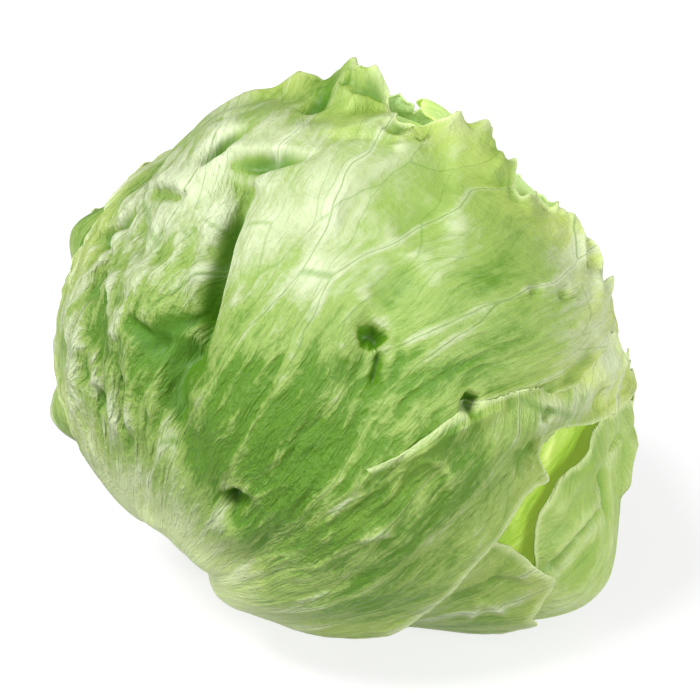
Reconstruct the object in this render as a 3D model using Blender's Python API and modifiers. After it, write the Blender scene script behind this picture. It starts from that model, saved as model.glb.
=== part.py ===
"""An iceberg lettuce head lying tilted on a surface, as Blender objects in metres.

The head is a short cut stem, a dense heart, two inner leaves folded over the crown, and seven looser wrapper
leaves, each its own object. Every surface is a distance from the head's centre, given by two angles: theta
runs from the stem end (0 degrees) to the crown (180 degrees), and phi runs round the axis, from the front of
the head (0 degrees) to its low right side (90 degrees). Each leaf lies on those further in.
"""

import math
from dataclasses import dataclass

import bmesh
import bpy
import numpy as np
from mathutils import Matrix, Vector

MM = 0.001

# How the head lies: its stem-to-crown axis rises from the surface and turns away from +X
AXIS_RISE = 46.4
AXIS_HEADING = 29.3
CENTRE_HEIGHT = 87.5 * MM

# The heart, before its lumps
STEM_DEPTH = 69.0 * MM
CROWN_DEPTH = 70.5 * MM
GIRTH = 79.0 * MM
SQUARENESS = 2.5
SHOULDER_HEIGHT = 4.0 * MM
SHOULDER_THETA = 28
SHOULDER_SPREAD = 15

# Under the wrapper leaves the creases are deeper and wider, and the loose side swells less
INNER_FOLD_SHARE = 1.1
INNER_FOLD_WIDENING = 1.25
INNER_LOOSE_SHARE = 0.45
HEART_CLEARANCE = 1.5 * MM

# The wrapper leaves
LEAF_THICKNESS = 0.8 * MM
LEAF_PITCH = 2.8 * MM
BASE_THETA = 12.5
DRAPE_OUT = 14.0 * MM
MARGIN_BAND = 22.0 * MM
SIDE_WAVES = 3.0
SIDE_FLARE_THETA = 52
CUT_PHASE = 0.37

# Below this share of straight down, a place can't reach the surface that the head lies on
LEAST_DROP = 0.05
HEART_FLOOR_LAYERS = 0.5

# The cut stem
STEM_RADIUS = 14.0 * MM
STEM_LENGTH = 10.5 * MM
STEM_CLEARANCE = 0.5 * MM
STEM_SEAT_DEPTH = 65.0 * MM
STEM_SEAT_THETA = 15.1
STEM_SIDES = 32

# Mesh density
ROW_CROWDING = 1.25
HEART_SEGMENTS = 36
HEART_RINGS = 24

COLLECTION_NAME = "Iceberg lettuce head"


@dataclass(frozen=True)
class Swelling:
    """A broad lump or hollow of the whole head."""

    theta: float
    phi: float
    height: float
    spread: float


@dataclass(frozen=True)
class Fold:
    """A ridge (positive height) or a crease (negative height) along a run of (theta, phi) points."""

    path: tuple
    half_width: float
    height: float


@dataclass(frozen=True)
class Leaf:
    """A leaf. left and right give phi of its side margins at some thetas. tip gives theta of its top margin,
    and flare how far that margin stands off, at places across the leaf from -1, on the left, to 1. A leaf
    that folds over the crown has its own angles instead: theta runs on past the crown along the leaf's
    middle, whose phi is over_crown, and phi is the angle to either side of that middle.
    """

    name: str
    left: tuple
    right: tuple
    tip: tuple
    flare: tuple
    side_flare: float
    waves: float
    wave_depth: float
    seed: float
    columns: int
    rows: int
    over_crown: float | None = None


SWELLINGS = (
    Swelling(theta=46, phi=-90, height=4.5 * MM, spread=22),
    Swelling(theta=118, phi=-90, height=-1.0 * MM, spread=22),
    Swelling(theta=136, phi=-76, height=-4.0 * MM, spread=18),
    Swelling(theta=55, phi=95, height=2.0 * MM, spread=30),
    Swelling(theta=30, phi=70, height=-3.0 * MM, spread=28),
    Swelling(theta=95, phi=180, height=2.0 * MM, spread=35),
)

# Where the wrapper leaves stand off the heart together
LOOSE = (
    Swelling(theta=85, phi=96, height=25.0 * MM, spread=22),
)

FOLDS = (
    # the long crease on the left, the valley that it opens into, and the swollen fold beside it
    Fold(((104, -40), (96, -36.5), (90, -34), (83, -31.5), (77, -29), (68, -25)), 7 * MM, -9 * MM),
    Fold(((66, -30), (60, -27), (54, -21)), 8 * MM, -4 * MM),
    Fold(((110, -57), (96, -50), (82, -44), (68, -40)), 9 * MM, 3 * MM),
    # the ridge that runs up from the stem to the notch in the right leaf's margin
    Fold(((42, 8), (62, 14), (78, 19), (92, 24)), 7 * MM, 3 * MM),
    # pockets in the middle and low on the front
    Fold(((97, 2), (93, 4), (87, 6)), 7 * MM, -5 * MM),
    Fold(((50, -1), (47, 1)), 7 * MM, -4 * MM),
    # puckers on the left and near the top
    Fold(((116, -78), (102, -76), (94, -73)), 7 * MM, -4 * MM),
    Fold(((130, -62), (126, -46)), 7 * MM, -4 * MM),
    Fold(((122, -30), (124, -16)), 8 * MM, -3 * MM),
    Fold(((78, -62), (62, -56)), 8 * MM, -3 * MM),
)

# From the innermost to the outermost
LEAVES = (
    Leaf(
        name="inner_leaf_1",
        left=((12, -18), (36, -42), (60, -56), (120, -66), (180, -62)),
        right=((12, 18), (36, 42), (60, 56), (120, 66), (180, 62)),
        tip=((-1, 150), (-0.5, 188), (0, 198), (0.5, 190), (1, 150)),
        flare=((-1, 1 * MM), (0, 1 * MM), (1, 1 * MM)),
        side_flare=1 * MM,
        waves=5,
        wave_depth=2 * MM,
        seed=0.4,
        columns=15,
        rows=18,
        over_crown=262,
    ),
    Leaf(
        name="inner_leaf_2",
        left=((12, -18), (36, -42), (60, -54), (120, -62), (180, -56)),
        right=((12, 18), (36, 42), (60, 54), (120, 62), (180, 56)),
        tip=((-1, 152), (-0.5, 184), (0, 198), (0.5, 192), (1, 150)),
        flare=((-1, 2 * MM), (0, 2 * MM), (1, 2 * MM)),
        side_flare=1 * MM,
        waves=5,
        wave_depth=2 * MM,
        seed=1.9,
        columns=15,
        rows=18,
        over_crown=78,
    ),
    Leaf(
        name="crown_leaf",
        left=((12, 130), (60, 112), (100, 112), (150, 60)),
        right=((12, 230), (60, 252), (100, 256), (150, 300)),
        tip=((-1, 118), (-0.5, 148), (0, 158), (0.5, 152), (1, 120)),
        flare=((-1, 2 * MM), (0, 3 * MM), (0.5, 1.5 * MM), (1, 1 * MM)),
        side_flare=1 * MM,
        waves=7,
        wave_depth=3 * MM,
        seed=1.0,
        columns=20,
        rows=16,
    ),
    Leaf(
        name="flap_leaf",
        left=((12, 50), (60, 73), (76, 73), (86, 65), (96, 63), (106, 68), (122, 80)),
        right=((12, 150), (60, 168), (100, 176), (130, 172)),
        tip=((-1, 110), (-0.5, 116), (0, 122), (0.6, 122), (1, 100)),
        flare=((-1, 2 * MM), (0, 5 * MM), (1, 5 * MM)),
        side_flare=2 * MM,
        waves=6,
        wave_depth=3 * MM,
        seed=2.3,
        columns=20,
        rows=16,
    ),
    Leaf(
        name="left_leaf",
        left=((12, -165), (60, -178), (100, -176)),
        right=((12, -62), (60, -70), (100, -76)),
        tip=((-1, 88), (-0.5, 116), (0, 112), (0.35, 98), (0.8, 90), (1, 86)),
        flare=((-1, 4 * MM), (0, 4 * MM), (1, 1 * MM)),
        side_flare=3 * MM,
        waves=6,
        wave_depth=3 * MM,
        seed=3.1,
        columns=20,
        rows=15,
    ),
    Leaf(
        name="front_leaf",
        left=((12, -125), (30, -112), (50, -104), (70, -97), (90, -101), (110, -114), (140, -116)),
        right=((12, 30), (50, 40), (85, 36), (100, 40), (112, 52), (140, 88)),
        tip=((-1, 108), (-0.7, 126), (-0.48, 142), (-0.3, 140), (-0.08, 139), (0.08, 147), (0.36, 148),
             (0.62, 147), (1, 132)),
        flare=((-1, 0), (-0.66, 0.5 * MM), (-0.48, 10 * MM), (-0.3, 3 * MM), (-0.1, 1 * MM), (0.4, 1 * MM),
               (1, 1 * MM)),
        side_flare=2 * MM,
        waves=9,
        wave_depth=2 * MM,
        seed=4.7,
        columns=42,
        rows=24,
    ),
    Leaf(
        name="bottom_leaf",
        left=((12, 40), (40, 40), (60, 48), (80, 54)),
        right=((12, 165), (40, 172), (80, 168)),
        tip=((-1, 78), (-0.66, 77), (-0.4, 69), (0, 67), (0.5, 68), (1, 62)),
        flare=((-1, 2 * MM), (0, 2 * MM), (1, 3 * MM)),
        side_flare=2 * MM,
        waves=5,
        wave_depth=2 * MM,
        seed=7.2,
        columns=22,
        rows=13,
    ),
    Leaf(
        name="right_leaf",
        left=((12, 5), (28, 9), (47, 10.5), (61, 13), (81, 20), (99, 29), (110, 42), (124, 55)),
        right=((12, 80), (50, 68), (75, 59), (92, 53), (103, 54), (112, 64), (124, 84)),
        tip=((-1, 117), (-0.5, 124), (0, 124), (0.5, 121), (1, 118)),
        flare=((-1, 1 * MM), (0, 1 * MM), (1, 1 * MM)),
        side_flare=2 * MM,
        waves=5,
        wave_depth=1.5 * MM,
        seed=5.9,
        columns=18,
        rows=20,
    ),
    Leaf(
        name="back_leaf",
        left=((12, 158), (50, 150), (90, 152)),
        right=((12, 242), (50, 246), (70, 248), (95, 260)),
        tip=((-1, 70), (-0.5, 92), (0, 98), (0.5, 100), (0.8, 96), (1, 80)),
        flare=((-1, 4 * MM), (0, 4 * MM), (1, 3 * MM)),
        side_flare=2 * MM,
        waves=6,
        wave_depth=3 * MM,
        seed=6.4,
        columns=16,
        rows=12,
    ),
)


def axis_frame():
    """The head's own directions: towards its crown, its front and its low right side."""
    rise, heading = math.radians(AXIS_RISE), math.radians(AXIS_HEADING)
    crown = np.array([math.cos(rise) * math.cos(heading), math.cos(rise) * math.sin(heading), math.sin(rise)])
    front = np.array([0.0, -crown[2], crown[1]])
    front /= np.linalg.norm(front)
    return crown, front, np.cross(crown, front)


CROWN, FRONT, SIDE = axis_frame()


def direction(theta, phi):
    """Unit vectors from the head's centre at angles in degrees."""
    t, p = np.radians(theta), np.radians(phi)
    across = np.cos(p)[..., None] * FRONT + np.sin(p)[..., None] * SIDE
    return np.sin(t)[..., None] * across - np.cos(t)[..., None] * CROWN


def through(points, x):
    """A smooth curve through (x, y) points, by cubic pieces whose slopes follow the neighbours."""
    px, py = np.array(points, float).T
    slope = np.gradient(py, px)
    x = np.clip(x, px[0], px[-1])
    i = np.clip(np.searchsorted(px, x, side="right") - 1, 0, len(px) - 2)
    step = px[i + 1] - px[i]
    u = (x - px[i]) / step
    return (
        py[i] * (1 + 2 * u) * (1 - u) ** 2
        + slope[i] * step * u * (1 - u) ** 2
        + py[i + 1] * u**2 * (3 - 2 * u)
        - slope[i + 1] * step * u**2 * (1 - u)
    )


def ease(low, high, x):
    """0 below low, 1 above high, smooth in between."""
    u = np.clip((x - low) / (high - low), 0, 1)
    return u * u * (3 - 2 * u)


def fold_height(fold, theta, phi, widening=1.0):
    """The fold's height at each place, falling off on both sides of its path."""
    here = direction(theta, phi) * GIRTH
    path = np.array(fold.path, float)
    corners = direction(path[:, 0], path[:, 1]) * GIRTH
    nearest = np.full(np.shape(theta), np.inf)
    for start, end in zip(corners[:-1], corners[1:]):
        along = end - start
        u = np.clip((here - start) @ along / (along @ along), 0, 1)
        gap = here - start - u[..., None] * along
        nearest = np.minimum(nearest, np.sqrt((gap**2).sum(-1)))
    return fold.height * np.exp(-((nearest / (widening * fold.half_width)) ** 2))


def swelling_height(swelling, theta, phi):
    """The swelling's height at each place."""
    top = direction(np.array(float(swelling.theta)), np.array(float(swelling.phi)))
    angle = np.degrees(np.arccos(np.clip(direction(theta, phi) @ top, -1, 1)))
    return swelling.height * np.exp(-((angle / swelling.spread) ** 2))


def ball_radius(theta, phi):
    """The head under the wrapper leaves, before any fold."""
    t = np.radians(theta)
    depth = np.where(theta < 90, STEM_DEPTH, CROWN_DEPTH)
    along = np.abs(np.cos(t) / depth) ** SQUARENESS
    radius = (along + np.abs(np.sin(t) / GIRTH) ** SQUARENESS) ** (-1 / SQUARENESS)
    radius = radius + SHOULDER_HEIGHT * np.exp(-(((theta - SHOULDER_THETA) / SHOULDER_SPREAD) ** 2))
    return radius + sum(swelling_height(lump, theta, phi) for lump in SWELLINGS)


def outer_ground(theta, phi):
    """What the wrapper leaves lie on: the ball with the folds and the looseness that they share."""
    loose = sum(swelling_height(lump, theta, phi) for lump in LOOSE)
    folds = sum(fold_height(fold, theta, phi) for fold in FOLDS)
    return ball_radius(theta, phi) + loose + folds


def inner_ground(theta, phi):
    """What the inner leaves lie on. It keeps well under the wrapper leaves' creases."""
    loose = sum(swelling_height(lump, theta, phi) for lump in LOOSE)
    creases = sum(fold_height(fold, theta, phi, INNER_FOLD_WIDENING) for fold in FOLDS if fold.height < 0)
    return ball_radius(theta, phi) + INNER_LOOSE_SHARE * loose + INNER_FOLD_SHARE * creases


def heart_radius(theta, phi):
    """The heart keeps a little under the inner leaves, and is flat where the stem is set against it."""
    radius = inner_ground(theta, phi) - HEART_CLEARANCE
    seat = STEM_SEAT_DEPTH / np.cos(np.radians(np.minimum(theta, STEM_SEAT_THETA)))
    return np.where(theta < STEM_SEAT_THETA, np.minimum(radius, seat), radius)


def margin_wave(leaf, place):
    """An uneven wave along a leaf's margin, from about -1 to 1."""
    turn = math.pi * leaf.waves * place
    return 0.7 * np.sin(turn + leaf.seed) + 0.4 * np.sin(1.7 * turn + 2.1 * leaf.seed)


def angles_of(points):
    """theta and phi of the directions to some points."""
    unit = points / np.linalg.norm(points, axis=-1, keepdims=True)
    theta = np.degrees(np.arccos(np.clip(-unit @ CROWN, -1, 1)))
    return theta, np.degrees(np.arctan2(unit @ SIDE, unit @ FRONT))


def middle_of(leaf):
    """For a leaf that folds over the crown: the way its middle faces, and the way to its side."""
    outward = direction(np.array(90.0), np.array(float(leaf.over_crown)))
    return outward, np.cross(outward, CROWN)


def to_leaf_angles(leaf, theta, phi):
    if leaf.over_crown is None:
        return theta, phi
    outward, sideways = middle_of(leaf)
    here = direction(theta, phi)
    turned = (np.degrees(np.arctan2(here @ outward, -here @ CROWN)) + 90) % 360 - 90
    return turned, np.degrees(np.arcsin(np.clip(here @ sideways, -1, 1)))


def from_leaf_angles(leaf, theta, phi):
    if leaf.over_crown is None:
        return theta, phi
    outward, sideways = middle_of(leaf)
    t, p = np.radians(theta)[..., None], np.radians(phi)[..., None]
    return angles_of(np.cos(p) * (np.sin(t) * outward - np.cos(t) * CROWN) + np.sin(p) * sideways)


def half_width_of(leaf, theta):
    """Half the leaf's width, in metres."""
    turn = np.radians(through(leaf.right, theta) - through(leaf.left, theta)) / 2
    narrowing = np.sin(np.radians(theta)) if leaf.over_crown is None else 1.0
    return turn * GIRTH * narrowing


def place_on_leaf(leaf, theta, phi):
    """How far across the leaf (-1 to 1) and how far up it (0 to 1) a place is, from the leaf's own angles."""
    left, right = through(leaf.left, theta), through(leaf.right, theta)
    middle = (left + right) / 2
    turned = (phi - middle + 180) % 360 - 180
    across = turned / ((right - left) / 2)
    tip = through(leaf.tip, np.clip(across, -1, 1))
    return across, (theta - BASE_THETA) / (tip - BASE_THETA)


def coverage(leaf, theta, phi, reach_out=DRAPE_OUT):
    """1 where the leaf lies, falling to 0 at reach_out past its margin."""
    theta, phi = to_leaf_angles(leaf, theta, phi)
    across, up = place_on_leaf(leaf, theta, phi)
    to_side = (1 - np.abs(across)) * half_width_of(leaf, theta)
    tip = through(leaf.tip, np.clip(across, -1, 1))
    to_tip = (1 - up) * np.radians(tip - BASE_THETA) * GIRTH
    to_base = np.radians(theta - BASE_THETA) * GIRTH
    return ease(-reach_out, 0, np.minimum(np.minimum(to_side, to_tip), to_base))


def total_coverage(leaves, theta, phi, reach_out=DRAPE_OUT):
    """How many of some leaves lie at each place."""
    return sum((coverage(leaf, theta, phi, reach_out) for leaf in leaves), 0 * theta)


def leaf_radius(index, across, share, theta, phi):
    """Distance from the head's centre to the outside of one leaf."""
    leaf = LEAVES[index]
    own_theta, _ = to_leaf_angles(leaf, theta, phi)
    to_tip = (1 - share) * np.radians(through(leaf.tip, across) - BASE_THETA) * GIRTH
    to_side = (1 - np.abs(across)) * half_width_of(leaf, own_theta)
    at_tip = 1 - ease(0, MARGIN_BAND, to_tip)
    at_side = (1 - ease(0, MARGIN_BAND, to_side)) * ease(BASE_THETA, SIDE_FLARE_THETA, own_theta)
    tip_wave = leaf.wave_depth * (1 + margin_wave(leaf, across)) / 2
    side_wave = leaf.wave_depth * (1 + margin_wave(leaf, SIDE_WAVES * share)) / 4
    lift = (through(leaf.flare, across) + tip_wave) * at_tip + (leaf.side_flare + side_wave) * at_side
    above = LEAVES[index + 1 :]
    bare = np.clip(1 - total_coverage(above, theta, phi, 2 * DRAPE_OUT), 0, 1)
    layers = 1 + total_coverage(LEAVES[:index], theta, phi)
    ground = outer_ground if leaf.over_crown is None else inner_ground
    radius = ground(theta, phi) + LEAF_PITCH * layers + lift * bare
    return under_floor_limit(radius, theta, phi, total_coverage(above, theta, phi))


def under_floor_limit(radius, theta, phi, layers_below):
    """The radius, held back where it would press through the surface that the head lies on."""
    drop = -direction(theta, phi)[..., 2]
    limit = (CENTRE_HEIGHT - LEAF_PITCH * layers_below) / np.maximum(drop, LEAST_DROP)
    return np.where(drop > LEAST_DROP, np.minimum(radius, limit), radius)


def leaf_places(leaf, across, share):
    """theta and phi of points given by their place across a leaf and their share of the way up it."""
    tip = through(leaf.tip, across)
    tip = tip + np.degrees(leaf.wave_depth / GIRTH) * margin_wave(leaf, CUT_PHASE + across)
    theta = BASE_THETA + share * (tip - BASE_THETA)
    left, right = through(leaf.left, theta), through(leaf.right, theta)
    return from_leaf_angles(leaf, theta, (left + right) / 2 + across * (right - left) / 2)


def in_world(radius, theta, phi):
    """Points in the object's frame, whose origin is on the surface under the head's centre."""
    return direction(theta, phi) * radius[..., None] + np.array([0, 0, CENTRE_HEIGHT])


def plain_material(name, colour, roughness):
    material = bpy.data.materials.new(name)
    material.use_nodes = True
    shader = material.node_tree.nodes["Principled BSDF"]
    shader.inputs["Base Color"].default_value = (*colour, 1)
    shader.inputs["Roughness"].default_value = roughness
    shader.inputs["Metallic"].default_value = 0
    return material


def add_object(name, mesh, material, parent):
    made = bpy.data.objects.new(name, mesh)
    made.data.materials.append(material)
    made.data.shade_smooth()
    made.parent = parent
    bpy.data.collections[COLLECTION_NAME].objects.link(made)
    return made


def mesh_from(name, shape):
    mesh = bpy.data.meshes.new(name)
    shape.to_mesh(mesh)
    shape.free()
    return mesh


def make_leaf(index, material, parent):
    """A grid bent to the leaf's outline and laid on the leaves under it, then given its thickness."""
    leaf = LEAVES[index]
    shape = bmesh.new()
    bmesh.ops.create_grid(shape, x_segments=leaf.columns, y_segments=leaf.rows, size=1)
    bmesh.ops.triangulate(shape, faces=shape.faces, quad_method="FIXED")
    grid = np.array([vert.co for vert in shape.verts])
    across = grid[:, 0]
    share = 1 - (1 - (grid[:, 1] + 1) / 2) ** ROW_CROWDING
    theta, phi = leaf_places(leaf, across, share)
    places = in_world(leaf_radius(index, across, share, theta, phi), theta, phi)
    for vert, place in zip(shape.verts, places):
        vert.co = place
    bmesh.ops.recalc_face_normals(shape, faces=shape.faces)
    first = shape.faces[:][0]
    if first.normal.dot(first.calc_center_median() - Vector((0, 0, CENTRE_HEIGHT))) < 0:
        bmesh.ops.reverse_faces(shape, faces=shape.faces)
    made = add_object(leaf.name, mesh_from(leaf.name, shape), material, parent)
    thick = made.modifiers.new("Thickness", "SOLIDIFY")
    thick.thickness = LEAF_THICKNESS
    thick.offset = -1
    return made


def make_heart(material, parent):
    """The dense heart: a ball drawn to the head's radius, flat where the stem is set against it."""
    shape = bmesh.new()
    bmesh.ops.create_uvsphere(shape, u_segments=HEART_SEGMENTS, v_segments=HEART_RINGS, radius=1)
    ball = np.array([vert.co for vert in shape.verts])
    theta = np.degrees(np.arccos(np.clip(-ball[:, 2], -1, 1)))
    phi = np.degrees(np.arctan2(ball[:, 1], ball[:, 0]))
    radius = heart_radius(theta, phi)
    radius = under_floor_limit(radius, theta, phi, total_coverage(LEAVES, theta, phi) + HEART_FLOOR_LAYERS)
    for vert, place in zip(shape.verts, in_world(radius, theta, phi)):
        vert.co = place
    return add_object("heart", mesh_from("heart", shape), material, parent)


def make_stem(material, parent):
    """The cut stem: a turned stub whose cut face points down the axis, away from the crown."""
    foot = STEM_SEAT_DEPTH + STEM_CLEARANCE
    shape = bmesh.new()
    bmesh.ops.create_cone(
        shape,
        cap_ends=True,
        segments=STEM_SIDES,
        radius1=STEM_RADIUS,
        radius2=STEM_RADIUS,
        depth=STEM_LENGTH,
    )
    along = Vector(-CROWN)
    turn = along.to_track_quat("Z", "Y").to_matrix().to_4x4()
    middle = Vector((0, 0, CENTRE_HEIGHT)) + along * (foot + STEM_LENGTH / 2)
    shape.transform(Matrix.Translation(middle) @ turn)
    return add_object("stem", mesh_from("stem", shape), material, parent)


def main():
    for old in list(bpy.data.objects):
        bpy.data.objects.remove(old)
    collection = bpy.data.collections.new(COLLECTION_NAME)
    bpy.context.scene.collection.children.link(collection)
    lies_on = bpy.data.objects.new("lettuce", None)
    collection.objects.link(lies_on)
    make_heart(plain_material("heart_leaf", (0.62, 0.74, 0.30), 0.45), lies_on)
    make_stem(plain_material("cut_stem", (0.80, 0.78, 0.58), 0.60), lies_on)
    wrapper = plain_material("wrapper_leaf", (0.36, 0.58, 0.16), 0.42)
    for index in range(len(LEAVES)):
        make_leaf(index, wrapper, lies_on)


main()
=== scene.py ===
"""The looks of an iceberg lettuce head that lies tilted on a pale floor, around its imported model.

Every leaf is made again as a fine, thin, veined surface that stands for its solid, from the same description
of the head: distances from the head's centre by two angles, theta from the stem end (0 degrees) to the crown
(180 degrees), and phi round the axis, from the front (0 degrees) to the low right side (90 degrees).
"""

import itertools
import math
from dataclasses import dataclass, replace

import bmesh
import bpy
import numpy as np
from mathutils import Matrix, Vector


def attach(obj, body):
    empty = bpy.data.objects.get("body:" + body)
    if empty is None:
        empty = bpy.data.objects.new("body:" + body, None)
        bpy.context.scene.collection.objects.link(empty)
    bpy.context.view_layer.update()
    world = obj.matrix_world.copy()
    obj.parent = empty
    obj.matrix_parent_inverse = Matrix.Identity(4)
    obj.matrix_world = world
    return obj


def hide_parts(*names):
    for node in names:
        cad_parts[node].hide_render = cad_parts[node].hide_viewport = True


MM = 0.001

# How the head lies: its stem-to-crown axis rises from the surface and turns away from +X
AXIS_RISE = 46.4
AXIS_HEADING = 29.3
CENTRE_HEIGHT = 87.5 * MM

# The heart, before its lumps
STEM_DEPTH = 69.0 * MM
CROWN_DEPTH = 70.5 * MM
GIRTH = 79.0 * MM
SQUARENESS = 2.5
SHOULDER_HEIGHT = 4.0 * MM
SHOULDER_THETA = 28
SHOULDER_SPREAD = 15

# Under the wrapper leaves the creases are deeper and wider, and the loose side swells less
INNER_FOLD_SHARE = 1.1
INNER_FOLD_WIDENING = 1.25
INNER_LOOSE_SHARE = 0.45
HEART_CLEARANCE = 1.5 * MM
HEART_HOLLOWS = 1.1

# The wrapper leaves
LEAF_THICKNESS = 0.6 * MM
LEAF_PITCH = 2.8 * MM
BASE_THETA = 12.5
DRAPE_OUT = 14.0 * MM
MARGIN_BAND = 22.0 * MM
SIDE_WAVES = 3.0
SIDE_FLARE_THETA = 52
CUT_PHASE = 0.37
LEAST_DROP = 0.05
HEART_FLOOR_LAYERS = 0.5

# The cut stem
STEM_RADIUS = 14.0 * MM
STEM_LENGTH = 10.5 * MM
STEM_CLEARANCE = 0.5 * MM
STEM_SEAT_DEPTH = 65.0 * MM
STEM_SEAT_THETA = 15.1
CUT_FACE_SLACK = 1e-5

# How the rows of a leaf's grid crowd towards its tip
ROW_CROWDING = 1.25

# A degree's length at the girth
DEGREE = GIRTH * math.pi / 180


@dataclass(frozen=True)
class Swelling:
    """A broad lump or hollow of the whole head, or a place where some measure is larger."""

    theta: float
    phi: float
    height: float
    spread: float


@dataclass(frozen=True)
class Fold:
    """A ridge (positive height) or a crease (negative height) along a run of (theta, phi) points. Its half
    width and height are in millimetres."""

    path: tuple
    half_width: float
    height: float


@dataclass(frozen=True)
class Crimp:
    """A fold of the fine surface, with its half width, height and lean in millimetres. It fades over a share
    of its length at both ends. Its left side, seen from outside along its path, can be wider than its right
    side, and its crest can lean to the right."""

    path: tuple
    half_width: float
    height: float
    left: float = 1.0
    lean: float = 0.0
    fade: float = 0.3
    power: float = 1.6


@dataclass(frozen=True)
class Leaf:
    """A leaf. left and right give phi of its side margins at some thetas. tip gives theta of its top margin,
    and flare how far that margin stands off, at places across the leaf from -1, on the left, to 1. A leaf
    that folds over the crown has its own angles instead: theta runs on past the crown along the leaf's
    middle, whose phi is over_crown, and phi is the angle to either side of that middle.
    """

    name: str
    left: tuple
    right: tuple
    tip: tuple
    flare: tuple
    side_flare: float
    waves: float
    wave_depth: float
    seed: float
    columns: int
    rows: int
    ruffle: float
    tooth: float = 1.0
    finish: str = "wrapper"
    over_crown: float | None = None
    bulges: tuple = ()
    crimps: tuple = ()


def swellings(*rows):
    return tuple(Swelling(*row) for row in rows)


def mm(*pairs):
    """(place, height) pairs whose heights are given in millimetres."""
    return tuple((place, height * MM) for place, height in pairs)


SWELLINGS = swellings(
    (46, -90, 3 * MM, 22), (118, -90, -1 * MM, 22), (136, -76, -4 * MM, 18), (55, 95, 2 * MM, 30),
    (30, 70, -3 * MM, 28), (95, 180, 2 * MM, 35),
)
LOOSE = swellings((85, 96, 25 * MM, 22))

# How the fine leaves fill out together beside the stem and at the lower front
FULLNESS = swellings(
    (20, -28, 4.5 * MM, 12), (17, 16, 6 * MM, 13), (38, 62, 3 * MM, 14),
)

FOLDS = (
    Fold(((104, -40), (96, -36.5), (90, -34), (83, -31.5), (77, -29), (70, -26.5)), 5.5, -7),
    Fold(((66, -30), (60, -27), (54, -21)), 8, -4),
    Fold(((110, -57), (96, -50), (82, -44), (68, -40)), 9, 3),
    Fold(((42, 8), (62, 14), (78, 19), (92, 24)), 7, 3),
    Fold(((97, 2), (93, 4), (87, 6)), 5, -3),
    Fold(((50, -1), (47, 1)), 5, -2.5),
    Fold(((102, -76), (94, -73)), 7, -2),
    Fold(((130, -62), (126, -46)), 6, -2),
    Fold(((78, -62), (62, -56)), 8, -3),
)

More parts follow.
